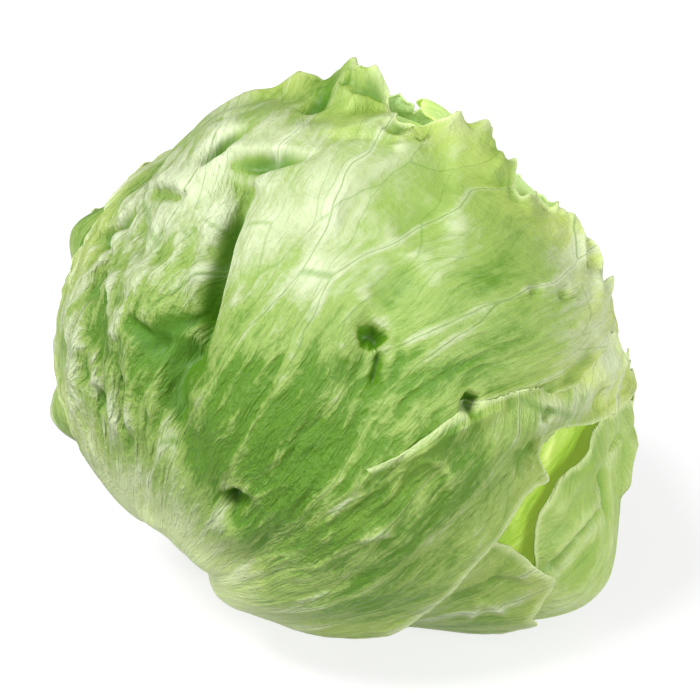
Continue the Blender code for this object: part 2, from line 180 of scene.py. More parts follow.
# The fine folds of the front leaf
FRONT_CRIMPS = (
    # the long crease, the rim that leans over it, and the valley that it opens into
    Crimp(((105, -40), (96, -36.5), (90, -34), (83, -31.5), (77, -29), (69, -26)), 2.9, -6.5, power=2.6),
    Crimp(((101, -43.5), (92, -38.7), (85, -35.2), (79, -32.7), (73, -31)), 1.6, 0.6, lean=1.4),
    Crimp(((76, -30), (66, -30), (62, -28), (57, -25), (53, -20)), 5, -3.5, power=2.4),
    Crimp(((104, -44), (107, -38), (106, -32)), 2, 1.2, lean=1),
    # the pockets near the top, and their lips
    Crimp(((99, -49.5), (104, -51), (108, -51.5), (115, -51)), 2.8, -5.5, power=2.2, fade=0.5),
    Crimp(((101, -47.5), (106, -48), (112, -47)), 1.6, 0.9, left=1.4),
    Crimp(((102.5, -48), (108, -44), (112, -38.5), (118, -30)), 3.2, -5, power=2.2, fade=0.5),
    Crimp(((106, -50), (112, -43.5), (117, -37)), 2, 1, lean=1.4),
    Crimp(((125, -51), (130, -53), (133, -55), (136, -56)), 3.6, -4.5, power=2.2, fade=0.4),
    Crimp(((113, -76), (116, -64), (119, -60)), 3.5, -3),
    Crimp(((135, -52.5), (136.8, -48.5), (137.5, -43)), 1.9, -3, power=2.6, fade=0.2),
    Crimp(((137.5, -57), (139, -53), (139.5, -48)), 1.7, -2.8, power=2.6, fade=0.2),
    Crimp(((138.5, -47), (140, -43), (141.5, -40)), 1.8, -2.6, power=2.6, fade=0.2),
    Crimp(((134, -66), (136, -61), (136.5, -57)), 2, -2.4, power=2.6),
    Crimp(((133.5, -50), (135.3, -45.5), (135.5, -40)), 1.8, 1.6, lean=0.8),
    Crimp(((136, -56), (138, -51), (138.6, -46)), 1.6, 1.8, lean=1),
    Crimp(((131, -44), (137, -41.5), (141, -38)), 2, 1.5),
    Crimp(((130, -26), (134, -25), (136, -21)), 1.8, -3, power=2.6),
    Crimp(((129, -22), (132, -19), (136, -17)), 2.2, 2.4, lean=1.2),
    Crimp(((131.5, -24.5), (134.5, -22.5)), 1.1, -2.4, power=2.2),
    Crimp(((133, -20.8), (136, -20.5)), 1.0, 1.8),
    Crimp(((133.5, -18.8), (137, -18.3)), 1.0, -2.2, power=2.2),
    Crimp(((134, -16.6), (138, -16)), 1.1, 1.8),
    Crimp(((140, -19), (143, -14), (146, -10)), 2.2, 1.4),
    # the pockets on the left
    Crimp(((76, -72), (80.5, -65), (84, -62), (88.5, -59)), 2.8, -4.4, power=2.4, fade=0.3),
    Crimp(((65, -62), (72, -61), (79.5, -58)), 2.7, -4, power=2.4, fade=0.3),
    Crimp(((89.5, -55.5), (85.5, -56.5), (81, -55), (76, -53.5), (70, -50.5)), 1.6, 1.5, lean=0.7),
    Crimp(((71, -43), (68.5, -37.5), (67.5, -36), (62, -36)), 2.7, -5, power=2.2, fade=0.4),
    Crimp(((66, -35), (71.7, -34.5), (74.3, -33), (79, -30.5)), 2.5, -3.5, power=2),
    Crimp(((58, -58.5), (54.5, -58), (50, -56)), 2, -3, power=2.6),
    Crimp(((53, -50.5), (46, -48.5)), 2.4, -3),
    # the fold that overhangs the ribbed part, left of the long crease
    Crimp(((93, -66), (95.5, -58), (97, -50), (97, -46.5), (93, -44.5)), 3.2, 2.4, lean=1.6),
    Crimp(((92.5, -60), (94, -53), (95, -48), (92.5, -46)), 2.4, -2.6),
    # wrinkles that run down the left side towards the stem
    Crimp(((88, -62), (81, -61), (76.5, -57), (70.4, -51), (65, -46)), 2.2, 2.6, lean=0.8),
    Crimp(((78, -66), (73.3, -60), (68, -57)), 2, 1.6),
    Crimp(((94, -43), (88, -39.6), (83, -37)), 2.2, -1.6),
    Crimp(((89, -49), (84, -44), (80, -40.5)), 2.4, -1.8),
    Crimp(((92, -45), (86.7, -40.6), (82, -38)), 1.8, 1.3),
    Crimp(((87, -57), (82, -49), (79, -45.5)), 2.6, -1.8),
    Crimp(((73, -51), (78.2, -42), (81.6, -37.5), (83, -35)), 6, 2.6),
    Crimp(((69, -61), (61, -59.7), (55, -59), (46, -60.6), (36, -66)), 2.4, 2.6, lean=0.8),
    Crimp(((67, -36.5), (58.5, -35.7), (51, -36.5), (44, -34)), 2.4, 3, lean=0.8),
    Crimp(((66, -33), (59, -32), (51, -29.5)), 2, 1.8),
    Crimp(((63, -46), (55.8, -44), (49.7, -42.6), (42, -38.5)), 2.1, 2.2),
    Crimp(((62, -55), (55, -52), (49, -49)), 1.9, 2),
    Crimp(((61, -40.5), (53.3, -39.5), (45, -37.5)), 1.9, -1.8),
    Crimp(((67, -66), (60, -64), (55, -62.5)), 2, 1.8),
    Crimp(((72, -47), (67, -45), (64, -43)), 4, 2),
    # the pit in the middle, with its slit, and the low pit with the fold over it
    Crimp(((93.2, 0.6), (95.6, 2.6), (94.8, 5.6)), 2.6, -4.5, fade=0.15, power=2.4),
    Crimp(((95, 5), (92, 7), (86, 9.5)), 1.3, -3.4),
    Crimp(((98, -1), (99, 4), (97.5, 8.5)), 1.8, 1),
    Crimp(((91.5, -3), (89.5, 1), (90, 4.5)), 1.8, 0.9),
    Crimp(((45.5, -0.5), (49.9, 0.8), (53, 2.2)), 2.5, -5, fade=0.2, power=2.6),
    Crimp(((47, -5), (52.4, -1.8), (54.8, 2.8), (53, 7)), 2, 1.6),
    Crimp(((47, 2), (43.5, 4.2)), 1.8, -1.6),
    # the hole beside the notch in the right leaf's margin
    Crimp(((95.6, 23.6), (96.4, 27.6)), 2.2, -7, fade=0.15, power=3),
    # dimples and soft ridges of the smooth part
    Crimp(((113, -6), (121.5, -4.8), (127, -2)), 5, -1.6),
    Crimp(((100, -2), (106, 0.3), (113, 1.3)), 6, -2),
    Crimp(((121, 26), (125, 29)), 1.8, -1.8),
    Crimp(((124.5, 35), (129.5, 39)), 1.8, -1.8),
    Crimp(((122.6, 0.5), (120.5, 4.2)), 3, -1.2),
    Crimp(((128, 2), (122.3, 5.8), (116.7, 7), (109.8, 6.2), (102, 4.5)), 1.8, 0.6),
    Crimp(((106, -28), (120.8, -28), (130, -25.7), (138, -23)), 4, 1.2),
    Crimp(((97, -22.5), (108, -20.8), (115, -19), (126, -16.5)), 4, 1.2),
    Crimp(((109, 44), (117, 49.7), (124, 55)), 3.4, -2.2),
    # grooves along the ribs of the lower front
    Crimp(((91, -13), (84, -9.7), (75.5, -8), (69.4, -7), (62.4, -6.8), (48, -9)), 1.3, -1.3),
    Crimp(((82, 3.5), (75.9, 4.2), (70.5, 3.8), (60, 5)), 1.5, -1.7),
    Crimp(((73, 7.4), (66.5, 7), (60, 7)), 1.5, -1.4),
    Crimp(((101, 4.5), (94.8, 9.8), (87, 12.5)), 1.3, -1.2),
)
RIGHT_CRIMPS = (
    Crimp(((80, 22.5), (84, 26.8), (83.3, 31.2), (80, 34.5)), 1.5, 1.4),
    Crimp(((61, 25), (66.6, 28.7), (69, 33.5)), 2, 1.5),
    Crimp(((101.5, 42.5), (105.5, 44.2)), 1.6, -2.4),
    Crimp(((110, 57), (116, 60)), 2.6, -2.2),
    Crimp(((100, 42.5), (96, 45.5), (92, 48), (88.5, 50)), 2.6, -2.8, power=2.6, fade=0.4),
    Crimp(((78, 21), (84, 23.5), (90, 26), (96, 30), (102, 35)), 1.8, 1.5, lean=-0.6),
)
FLAP_CRIMPS = (
    Crimp(((96, 79), (92, 76.5), (88.5, 74), (83, 74), (76, 75.5)), 1.7, -6, power=2.6),
    Crimp(((98, 76), (92, 72), (85, 71), (79, 72)), 2.4, 2.2),
    Crimp(((111, 82), (106, 75.5), (102, 75.5), (98, 78), (93, 82)), 1.6, -3.5, power=2.6),
    Crimp(((113, 87), (108, 86), (103, 86), (98, 88)), 2.6, 3.5, power=2.6),
    Crimp(((107, 76), (101, 74), (96, 75)), 2, -2),
    Crimp(((104, 66), (98, 64.5), (90, 65), (84, 67)), 3, 1.4),
)
BOTTOM_CRIMPS = (
    Crimp(((60, 80), (66, 69.5), (68, 72), (69.4, 80)), 1.3, 1.2),
    Crimp(((69.5, 64), (72.7, 67.3), (75.5, 71)), 2.6, -1.6),
)

# How strongly the leaves are ribbed, over the plain strength
RIBBED = swellings(
    (62, -54, 1, 28), (92, -60, 0.6, 20), (66, 10, 1, 28), (84, 38, 0.1, 20), (112, -5, -0.3, 36),
    (30, 0, -0.3, 22),
)
PLAIN_RIBBING = 0.42

# The veins and ribs fan out above this theta, by this share a degree
FAN_THETA = 88
FAN_RATE = 0.0225

# Leaves that run into each other near the stem share their ribs
RIB_SEEDS = {"front_leaf": 150, "right_leaf": 150, "bottom_leaf": 150}

# How green each place is made, over the plain greenness: 0 is pale, 1 is green
GREEN = swellings(
    (66, 4, 0.86, 30), (60, 45, 0.2, 30), (100, -24, -0.4, 24), (22, -20, -0.6, 22), (92, 42, 0.1, 18),
    (118, 20, 0.18, 28), (62, -40, 0.1, 26), (58, 84, 0.3, 13), (66, -33, 0.6, 12), (138, -56, 0.45, 12),
    (134, 54, -0.5, 15), (118, 62, -0.4, 9), (124, 22, 0.08, 16), (96, -54, -0.3, 12), (104, 62, 0.5, 7),
)
PLAIN_GREEN = 0.36

LEAVES = (
    Leaf(
        "inner_leaf_1",
        left=((12, -18), (36, -42), (60, -56), (120, -66), (180, -62)),
        right=((12, 18), (36, 42), (60, 56), (120, 66), (180, 62)),
        tip=((-1, 150), (-0.5, 188), (0, 198), (0.5, 190), (1, 150)),
        flare=mm((-1, 1), (0, 1), (1, 1)),
        side_flare=1 * MM, waves=5, wave_depth=2 * MM, seed=0.4, columns=110, rows=140, ruffle=0.6 * MM,
        finish="inner", over_crown=262,
    ),
    Leaf(
        "inner_leaf_2",
        left=((12, -18), (36, -42), (60, -54), (120, -62), (180, -56)),
        right=((12, 18), (36, 42), (60, 54), (120, 62), (180, 56)),
        tip=((-1, 152), (-0.5, 184), (0, 198), (0.5, 192), (1, 150)),
        flare=mm((-1, 2), (0, 2), (1, 2)),
        side_flare=1 * MM, waves=5, wave_depth=2 * MM, seed=1.9, columns=110, rows=140, ruffle=0.8 * MM,
        finish="inner", over_crown=78,
        bulges=swellings((92, 56, 2 * MM, 14), (157, -37, 3 * MM, 9)),
    ),
    Leaf(
        "crown_leaf",
        left=((12, 130), (60, 112), (100, 112), (150, 60)),
        right=((12, 230), (60, 252), (100, 256), (150, 300)),
        tip=((-1, 118), (-0.5, 148), (0, 158), (0.5, 152), (1, 120)),
        flare=mm((-1, 2), (0, 3), (0.5, 1.5), (1, 1)),
        side_flare=1 * MM, waves=7, wave_depth=3 * MM, seed=1, columns=170, rows=150, ruffle=2.5 * MM,
        tooth=1.2, finish="crown",
        bulges=swellings((156, 222, 3.5 * MM, 12)),
    ),
    Leaf(
        "flap_leaf",
        left=((12, 50), (60, 72), (72, 75), (78, 72), (82, 66), (86.5, 61.5), (92, 61.5), (97, 60), (103, 62.5),
              (108, 65), (114, 71), (122, 79)),
        right=((12, 150), (60, 168), (100, 176), (130, 172)),
        tip=((-1, 114), (-0.8, 116), (-0.5, 117), (0, 122), (0.6, 122), (1, 100)),
        flare=mm((-1, 0.5), (-0.4, 3), (0, 5), (1, 5)),
        side_flare=2 * MM, waves=6, wave_depth=3 * MM, seed=2.3, columns=180, rows=150, ruffle=2 * MM,
        tooth=1.2, finish="flap",
        bulges=swellings((93, 96, -3 * MM, 9), (84, 90, 3.5 * MM, 9)),
        crimps=FLAP_CRIMPS,
    ),
    Leaf(
        "left_leaf",
        left=((12, -165), (60, -178), (100, -176)),
        right=((12, -62), (60, -63), (90, -64), (100, -70)),
        tip=((-1, 88), (-0.5, 116), (0, 112), (0.35, 98), (0.8, 90), (1, 86)),
        flare=mm((-1, 4), (0, 4), (1, 1)),
        side_flare=3 * MM, waves=6, wave_depth=3 * MM, seed=3.1, columns=150, rows=140, ruffle=2 * MM,
        tooth=1.2, finish="shaded",
        bulges=swellings((77, -96, 11 * MM, 8), (40, -94, 9 * MM, 7)),
    ),
    Leaf(
        "front_leaf",
        left=((12, -125), (24, -116), (32, -86), (39, -78), (46, -82), (52, -93), (58, -93), (64, -88),
              (70, -82), (77, -78), (84, -78), (90, -84), (97, -98), (110, -120), (140, -116)),
        right=((12, 30), (50, 40), (80, 34), (90, 35), (100, 39), (106, 44), (112, 51), (120, 62), (130, 76),
               (140, 88)),
        tip=((-1, 108), (-0.8, 120), (-0.68, 125), (-0.6, 132), (-0.54, 139), (-0.48, 143), (-0.4, 142),
             (-0.3, 141), (-0.22, 139), (-0.14, 136), (-0.08, 135), (-0.03, 139), (0.02, 148), (0.07, 152),
             (0.13, 149), (0.18, 149), (0.225, 150), (0.25, 147), (0.3, 145.5), (0.33, 148), (0.42, 151),
             (0.5, 152), (0.57, 153), (0.61, 150), (0.63, 146), (0.655, 146), (0.67, 151), (0.7, 150.5),
             (0.72, 146), (0.745, 140), (0.765, 141), (0.8, 142), (0.83, 138), (0.88, 136), (1, 130)),
        flare=mm((-1, -2), (-0.8, -3.5), (-0.68, -3.5), (-0.6, 0), (-0.55, 4.5), (-0.5, 7), (-0.46, 7),
                 (-0.42, 6.5), (-0.38, 6), (-0.33, 6.5), (-0.28, 5), (-0.22, 1.5), (-0.1, 2), (-0.03, 4),
                 (0.05, 4), (0.12, 1.5), (0.22, 1.5), (0.3, 0.5), (0.42, 0.5), (0.56, 1.5), (0.61, 1.5),
                 (0.645, 0), (0.68, 2), (0.715, 2.5), (0.75, 0), (0.79, 2), (0.83, 1.5), (0.87, 0), (1, 0)),
        side_flare=0.3 * MM, waves=9, wave_depth=2 * MM, seed=4.7, columns=275, rows=175, ruffle=2.5 * MM,
        tooth=1.8,
        crimps=FRONT_CRIMPS,
    ),
    Leaf(
        "bottom_leaf",
        left=((12, 40), (40, 40), (60, 48), (80, 54)),
        right=((12, 165), (40, 172), (80, 168)),
        tip=((-1, 78), (-0.8, 79), (-0.66, 78), (-0.54, 75), (-0.43, 71.5), (-0.36, 66), (-0.25, 63), (0, 63),
             (0.5, 66), (1, 62)),
        flare=mm((-1, 2), (-0.7, 1.5), (-0.5, 1), (-0.35, 0), (0, 0), (1, 3)),
        side_flare=2 * MM, waves=5, wave_depth=2 * MM, seed=7.2, columns=180, rows=110, ruffle=0.8 * MM,
        crimps=BOTTOM_CRIMPS,
    ),
    Leaf(
        "right_leaf",
        left=((12, 5), (28, 9), (47, 10.5), (61, 13), (71, 15.7), (81, 20), (90, 23), (99, 29), (105, 35),
              (110, 42), (116, 46.5), (124, 55)),
        right=((12, 80), (50, 66), (72, 54), (80, 53.5), (86, 54), (91, 54), (94, 55), (96, 50.5), (100, 48.5),
               (104, 52), (107, 58), (110, 62.5), (113, 67), (116, 71.5), (119, 77), (124, 80)),
        tip=((-1, 119), (-0.8, 124), (-0.45, 127.5), (-0.1, 126), (0.4, 124.5), (0.8, 123.5), (1, 122)),
        flare=mm((-1, 0), (0, 0.5), (0.6, 2), (1, 3)),
        side_flare=0.3 * MM, waves=5, wave_depth=1 * MM, seed=5.9, columns=160, rows=210, ruffle=1 * MM,
        bulges=swellings((95, 54.5, 1.6 * MM, 2.2)),
        crimps=RIGHT_CRIMPS,
    ),
    Leaf(
        "back_leaf",
        left=((12, 158), (50, 150), (90, 152)),
        right=((12, 242), (50, 246), (70, 248), (95, 260)),
        tip=((-1, 70), (-0.5, 92), (0, 98), (0.5, 100), (0.8, 96), (1, 80)),
        flare=mm((-1, 4), (0, 4), (1, 3)),
        side_flare=2 * MM, waves=6, wave_depth=3 * MM, seed=6.4, columns=150, rows=120, ruffle=1.8 * MM,
        tooth=1.2,
    ),
)


# ---------------------------------------------------------------- the head's form, as its solids have it


def axis_frame():
    """The head's own directions: towards its crown, its front and its low right side."""
    rise, heading = math.radians(AXIS_RISE), math.radians(AXIS_HEADING)
    crown = np.array([math.cos(rise) * math.cos(heading), math.cos(rise) * math.sin(heading), math.sin(rise)])
    front = np.array([0.0, -crown[2], crown[1]])
    front /= np.linalg.norm(front)
    return crown, front, np.cross(crown, front)


CROWN, FRONT, SIDE = axis_frame()
CENTRE = np.array([0, 0, CENTRE_HEIGHT])


def direction(theta, phi):
    """Unit vectors from the head's centre at angles in degrees."""
    t, p = np.radians(theta), np.radians(phi)
    across = np.cos(p)[..., None] * FRONT + np.sin(p)[..., None] * SIDE
    return np.sin(t)[..., None] * across - np.cos(t)[..., None] * CROWN


def through(points, x):
    """A smooth curve through (x, y) points, by cubic pieces whose slopes follow the neighbours."""
    px, py = np.array(points, float).T
    slope = np.gradient(py, px)
    x = np.clip(x, px[0], px[-1])
    i = np.clip(np.searchsorted(px, x, side="right") - 1, 0, len(px) - 2)
    step = px[i + 1] - px[i]
    u = (x - px[i]) / step
    return (
        py[i] * (1 + 2 * u) * (1 - u) ** 2
        + slope[i] * step * u * (1 - u) ** 2
        + py[i + 1] * u**2 * (3 - 2 * u)
        - slope[i + 1] * step * u**2 * (1 - u)
    )


def ease(low, high, x):
    """0 below low, 1 above high, smooth in between."""
    u = np.clip((x - low) / (high - low), 0, 1)
    return u * u * (3 - 2 * u)


def fold_height(fold, theta, phi, widening=1.0):
    """The fold's height at each place, falling off on both sides of its path."""
    here = direction(theta, phi) * GIRTH
    path = np.array(fold.path, float)
    corners = direction(path[:, 0], path[:, 1]) * GIRTH
    nearest = np.full(np.shape(theta), np.inf)
    for start, end in zip(corners[:-1], corners[1:]):
        along = end - start
        u = np.clip((here - start) @ along / (along @ along), 0, 1)
        gap = here - start - u[..., None] * along
        nearest = np.minimum(nearest, np.sqrt((gap**2).sum(-1)))
    return fold.height * MM * np.exp(-((nearest / (fold.half_width * MM * widening)) ** 2))


def swelling_height(swelling, theta, phi):
    """The swelling's height at each place."""
    top = direction(np.array(float(swelling.theta)), np.array(float(swelling.phi)))
    angle = np.degrees(np.arccos(np.clip(direction(theta, phi) @ top, -1, 1)))
    return swelling.height * np.exp(-((angle / swelling.spread) ** 2))


def swell(lumps, theta, phi):
    """What some swellings add up to at each place."""
    return sum(swelling_height(lump, theta, phi) for lump in lumps)


def ball_radius(theta, phi):
    """The head under the wrapper leaves, before any fold."""
    t = np.radians(theta)
    depth = np.where(theta < 90, STEM_DEPTH, CROWN_DEPTH)
    along = np.abs(np.cos(t) / depth) ** SQUARENESS
    radius = (along + np.abs(np.sin(t) / GIRTH) ** SQUARENESS) ** (-1 / SQUARENESS)
    radius = radius + SHOULDER_HEIGHT * np.exp(-(((theta - SHOULDER_THETA) / SHOULDER_SPREAD) ** 2))
    return radius + swell(SWELLINGS, theta, phi)


def outer_ground(theta, phi):
    """What the wrapper leaves lie on: the ball with the folds and the looseness that they share."""
    folds = sum(fold_height(fold, theta, phi) for fold in FOLDS)
    return ball_radius(theta, phi) + swell(LOOSE, theta, phi) + folds


def inner_ground(theta, phi):
    """What the inner leaves lie on. It keeps well under the wrapper leaves' creases."""
    creases = sum(fold_height(fold, theta, phi, INNER_FOLD_WIDENING) for fold in FOLDS if fold.height < 0)
    return ball_radius(theta, phi) + INNER_LOOSE_SHARE * swell(LOOSE, theta, phi) + INNER_FOLD_SHARE * creases


def margin_wave(leaf, place):
    """An uneven wave along a leaf's margin, from about -1 to 1."""
    turn = math.pi * leaf.waves * place
    return 0.7 * np.sin(turn + leaf.seed) + 0.4 * np.sin(1.7 * turn + 2.1 * leaf.seed)


def angles_of(points):
    """theta and phi of the directions to some points."""
    unit = points / np.linalg.norm(points, axis=-1, keepdims=True)
    theta = np.degrees(np.arccos(np.clip(-unit @ CROWN, -1, 1)))
    return theta, np.degrees(np.arctan2(unit @ SIDE, unit @ FRONT))


def middle_of(leaf):
    """For a leaf that folds over the crown: the way its middle faces, and the way to its side."""
    outward = direction(np.array(90.0), np.array(float(leaf.over_crown)))
    return outward, np.cross(outward, CROWN)


def to_leaf_angles(leaf, theta, phi):
    if leaf.over_crown is None:
        return theta, phi
    outward, sideways = middle_of(leaf)
    here = direction(theta, phi)
    turned = (np.degrees(np.arctan2(here @ outward, -here @ CROWN)) + 90) % 360 - 90
    return turned, np.degrees(np.arcsin(np.clip(here @ sideways, -1, 1)))


def from_leaf_angles(leaf, theta, phi):
    if leaf.over_crown is None:
        return theta, phi
    outward, sideways = middle_of(leaf)
    t, p = np.radians(theta)[..., None], np.radians(phi)[..., None]
    return angles_of(np.cos(p) * (np.sin(t) * outward - np.cos(t) * CROWN) + np.sin(p) * sideways)


def half_width_of(leaf, theta):
    """Half the leaf's width, in metres."""
    narrowing = np.sin(np.radians(theta)) if leaf.over_crown is None else 1.0
    return (through(leaf.right, theta) - through(leaf.left, theta)) / 2 * DEGREE * narrowing


def coverage(leaf, theta, phi, reach_out=DRAPE_OUT):
    """1 where the leaf lies, falling to 0 at reach_out past its margin."""
    theta, phi = to_leaf_angles(leaf, theta, phi)
    left, right = through(leaf.left, theta), through(leaf.right, theta)
    turned = (phi - (left + right) / 2 + 180) % 360 - 180
    across = turned / ((right - left) / 2)
    to_side = (1 - np.abs(across)) * half_width_of(leaf, theta)
    to_tip = (through(leaf.tip, np.clip(across, -1, 1)) - theta) * DEGREE
    to_base = (theta - BASE_THETA) * DEGREE
    return ease(-reach_out, 0, np.minimum(np.minimum(to_side, to_tip), to_base))


def total_coverage(leaves, theta, phi, reach_out=DRAPE_OUT):
    """How many of some leaves lie at each place."""
    return sum((coverage(leaf, theta, phi, reach_out) for leaf in leaves), 0 * theta)


def under_floor_limit(radius, theta, phi, layers_below):
    """The radius, held back where it would press through the surface that the head lies on."""
    drop = -direction(theta, phi)[..., 2]
    limit = (CENTRE_HEIGHT - LEAF_PITCH * layers_below) / np.maximum(drop, LEAST_DROP)
    return np.where(drop > LEAST_DROP, np.minimum(radius, limit), radius)


# ---------------------------------------------------------------- the fine surface

NOISE_PRIMES = (73856093, 19349663, 83492791)
NOISE_TURNS = 64
NOISE_SEED = 17
NOISE_SEED_STEP = 9176
NOISE_MIXER = 2246822519
NOISE_BITS = 0xFFFFFFFF
NOISE_GAIN = 1.9

# Noise cells, across and along the leaves
BEND_CELL = (18 * MM, 22 * MM)
RIB_CELL = (5 * MM, 22 * MM)
FINE_RIB_CELL = (2.6 * MM, 10 * MM)
BLISTER_CELL = (4.2 * MM, 8 * MM)
FRILL_CELL = (11 * MM, 11 * MM)
CURL_CELL = (5 * MM, 5 * MM)
SOFT_CELL = (34 * MM, 40 * MM)
SOFT_HEIGHT = 1.2 * MM

# The ribs: how far they bend, in degrees, how sharp they are, and each kind's share
RIB_BEND = 3
FINE_RIB_TURN = 3
RIB_SHARPNESS = 2.6
RIB_SHARE, FINE_RIB_SHARE, BLISTER_SHARE = 0.34, 0.24, 0.2
RIB_LIMITS = (0.06, 2)
RIBS_BEGIN = (14, 34)
FAN_ONSET = 10

# Seeds of the noises, beside those of the leaves
LOBE_SEED, TOOTH_SEED, NICK_SEED = 31, 32, 33
FRILL_SEED, CURL_SEED, SOFT_SEED = 40, 60, 7
PLAIN_RIB_SEED, RIB_SEED_STEP = 100, 10
HEART_RIB_SEED = 900

# How far in from the margin its frills, its curls and its colours reach
FRILL_REACH = 16 * MM
CURL_REACH = 5 * MM
CORNER_BAND = 5 * MM
RIM_REACH = 32 * MM
EDGE_REACH = 3 * MM
MARGINS_BEGIN = 35
TEETH_BEGIN = (70, 100)

# Where the right leaf's left margin sinks into the front leaf: how far in, and the thetas between which its
# upper part sinks less
JOIN_REACH = (2 * MM, 18 * MM)
JOIN_RISE = (68, 82)
JOIN_FALL = (104, 110)
JOIN_RELIEF = 0.35
JOIN_DEPTH = 1.25
BULGE_REACH = 7 * MM

# Widths over which hollows are sought, what makes one of them deep, and its share
NARROW_HOLLOW = (2.6 * MM, 0.7 * MM, 0.75)
BROAD_HOLLOW = (6.5 * MM, 2.2 * MM, 0.45)
HOLLOW_CELL = 317 * MM / 275
HOLLOW_LIMIT = 1.2
SMOOTH_TOP = (104, 120)
DEEP = 5 * MM
BUTT_END = 54
CROWNWARD = (120, 150)
CHART_UNIT = 100 * MM


def lattice_noise(points, seed):
    """Smooth gradient noise over 3D points, from about -1 to 1."""
    spin = np.random.default_rng(NOISE_SEED).normal(size=(NOISE_TURNS, 3))
    spin /= np.linalg.norm(spin, axis=1, keepdims=True)
    cell = np.floor(points).astype(np.int64)
    part = points - cell
    fade = part**3 * (part * (part * 6 - 15) + 10)
    total = np.zeros(points.shape[:-1])
    for corner in itertools.product((0, 1), repeat=3):
        at = (cell + np.array(corner)) * np.array(NOISE_PRIMES)
        key = (at[..., 0] ^ at[..., 1] ^ at[..., 2] ^ (seed * NOISE_SEED_STEP)) & NOISE_BITS
        key = ((key ^ (key >> 15)) * NOISE_MIXER) & NOISE_BITS
        key = (key ^ (key >> 13)) % NOISE_TURNS
        slope = ((part - np.array(corner)) * spin[key]).sum(-1)
        weight = np.prod(np.where(np.array(corner), fade, 1 - fade), axis=-1)
        total += weight * slope
    return NOISE_GAIN * total


def grain(theta, phi, cell, seed):
    """Noise whose cells are this wide across and along at the girth, and narrower towards both ends."""
    across, along = cell
    turn, reach = np.radians(phi), GIRTH / across
    points = np.stack([reach * np.cos(turn), reach * np.sin(turn), theta * DEGREE / along], axis=-1)
    return lattice_noise(points, seed)


def ribbing(theta, phi, seed):
    """Crooked ribs, and the blisters between them, along the leaves. About -1 to 1."""
    bent = phi + RIB_BEND * grain(theta, phi, BEND_CELL, seed + 1)
    ribs = 1 - RIB_SHARPNESS * np.abs(grain(theta, bent, RIB_CELL, seed + 2))
    fine = 1 - RIB_SHARPNESS * np.abs(grain(theta, bent + FINE_RIB_TURN, FINE_RIB_CELL, seed + 3))
    blister = grain(theta, bent, BLISTER_CELL, seed + 4)
    return RIB_SHARE * ribs + FINE_RIB_SHARE * fine + BLISTER_SHARE * blister


def spread_of(leaf, theta):
    """How close the veins would be, over how close they are, where they fan out high up on the leaf."""
    if leaf.over_crown is not None:
        return 1 + 0 * theta
    rise = np.maximum(theta - FAN_THETA, 0)
    rise = rise - FAN_ONSET * (1 - np.exp(-rise / FAN_ONSET))
    return np.exp(-FAN_RATE * rise)


def fanned(leaf, theta, phi):
    """phi measured along veins that fan out from the leaf's middle."""
    if leaf.over_crown is not None:
        return phi
    middle = (leaf.left[-1][1] + leaf.right[-1][1]) / 2
    return middle + ((phi - middle + 180) % 360 - 180) * spread_of(leaf, theta)


def crimp_shape(crimps, theta, phi):
    """The height that fine folds give each place, and how far they push it sideways."""
    here = direction(theta, phi) * GIRTH
    height = np.zeros(theta.shape)
    push = np.zeros(theta.shape + (3,))
    for crimp in crimps:
        half_width = crimp.half_width * MM
        path = np.array(crimp.path, float)
        corners = direction(path[:, 0], path[:, 1]) * GIRTH
        steps = np.linalg.norm(np.diff(corners, axis=0), axis=1)
        middle = corners.mean(0)
        reach = np.linalg.norm(corners - middle, axis=1).max() + 3 * half_width * max(1, crimp.left)
        near = np.nonzero(((here - middle) ** 2).sum(-1) < reach**2)[0]
        if not len(near):
            continue
        spot = here[near]
        gap, along, side = np.full(len(near), np.inf), np.zeros(len(near)), np.zeros((len(near), 3))
        offset = np.zeros(len(near))
        gone = 0.0
        for start, end, step in zip(corners[:-1], corners[1:], steps):
            run = (end - start) / step
            u = np.clip((spot - start) @ run, 0, step)
            away = spot - start - u[:, None] * run
            distance = np.linalg.norm(away, axis=1)
            rightward = np.cross(run, (start + end) / 2)
            rightward /= np.linalg.norm(rightward)
            better = distance < gap
            gap = np.where(better, distance, gap)
            along = np.where(better, gone + u, along)
            offset = np.where(better, away @ rightward, offset)
            side = np.where(better[:, None], rightward, side)
            gone += step
        share = along / steps.sum()
        ends = ease(0, crimp.fade, share) * ease(0, crimp.fade, 1 - share)
        width = half_width * (0.45 + 0.55 * ends) * np.where(offset < 0, crimp.left, 1)
        shape = np.exp(-((gap / width) ** crimp.power)) * ends
        height[near] += crimp.height * MM * shape
        push[near] += crimp.lean * MM * shape[:, None] * side
    return height, push


def shared_hollows(theta, phi):
    """The front leaf's fine creases and pockets, which the leaves under it share."""
    return np.minimum(crimp_shape(FRONT_CRIMPS, theta, phi)[0], 0)


def teeth(leaf, place, spin):
    """How far lobes, teeth and nicks carry a leaf's margin out, by the place along it."""

    def bumps(size, seed):
        return lattice_noise(np.stack([place / size, 0 * place, 0 * place + spin], -1), seed)

    lobes, small, tiny = bumps(20 * MM, LOBE_SEED), np.abs(bumps(10 * MM, TOOTH_SEED)), bumps(3 * MM, NICK_SEED)
    return leaf.tooth * (2.2 * lobes + 2.0 * small - 0.8 + 0.3 * tiny) * MM


